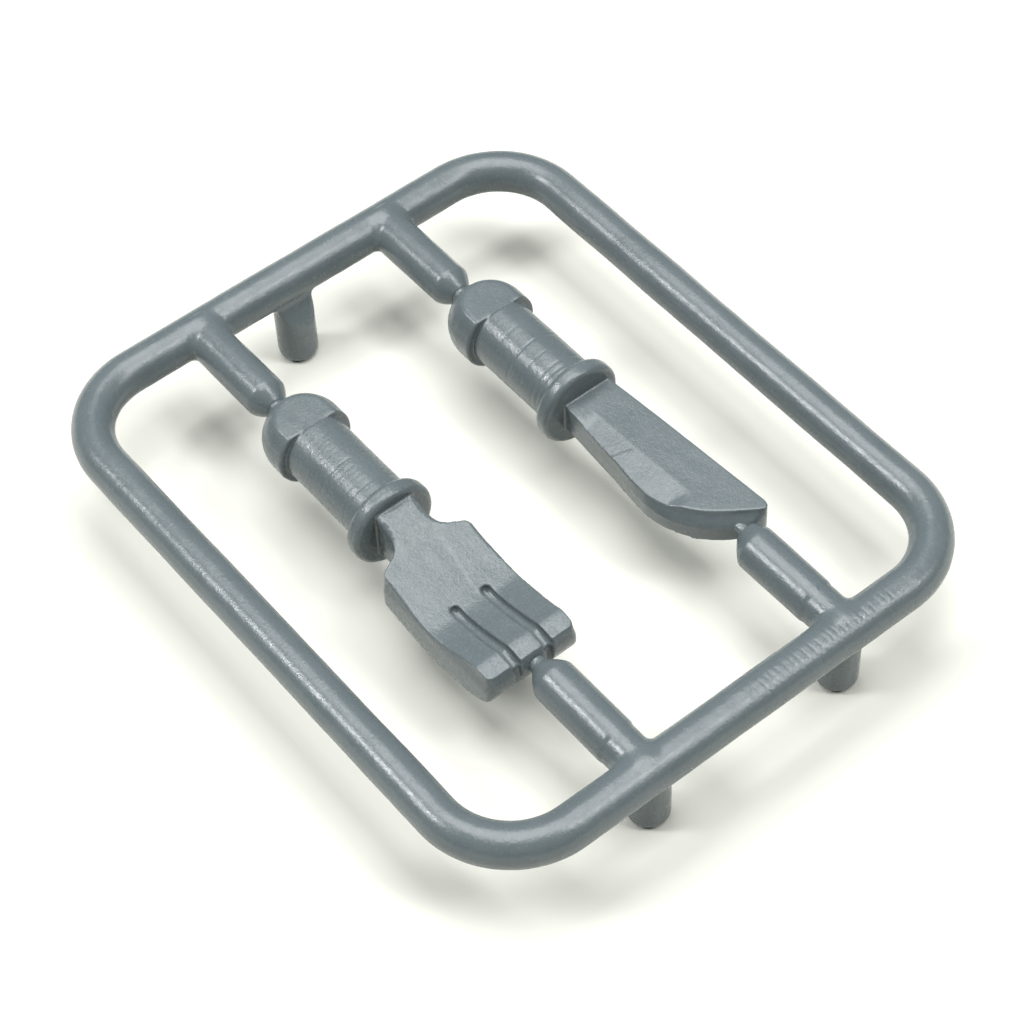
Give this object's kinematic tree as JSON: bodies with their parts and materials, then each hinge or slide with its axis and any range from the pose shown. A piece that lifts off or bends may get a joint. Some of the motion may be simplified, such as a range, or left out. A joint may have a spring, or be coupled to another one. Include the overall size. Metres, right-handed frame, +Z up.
{
  "type": "toy cutlery sprue",
  "caption": "Moulded grey plastic sprue: a rounded rectangular runner on short posts that holds a toy fork and a toy knife by thin break-off gates.",
  "frame": {"origin": "on the floor, under the middle of the runner", "axes": "+X from the fork to the knife, +Y from the blades to the pommels, +Z up"},
  "size_m": [0.0276, 0.0332, 0.0064],
  "materials": {
    "sprue_plastic": "satin, as moulded, with fine scuffs and light mould texture"
  },
  "bodies": {
    "sprue": {"sprue_frame": "sprue_plastic", "gate_fork_pommel": "sprue_plastic", "gate_fork_tip": "sprue_plastic", "gate_knife_pommel": "sprue_plastic", "gate_knife_tip": "sprue_plastic"},
    "fork": {"fork": "sprue_plastic"},
    "knife": {"knife": "sprue_plastic"}
  },
  "joints": [
    {"name": "fork_lift", "type": "slide", "parent": "sprue", "child": "fork", "axis": [0, 0, 1], "range_m": [0, 0.014]},
    {"name": "knife_lift", "type": "slide", "parent": "sprue", "child": "knife", "axis": [0, 0, 1], "range_m": [0, 0.014]}
  ]
}
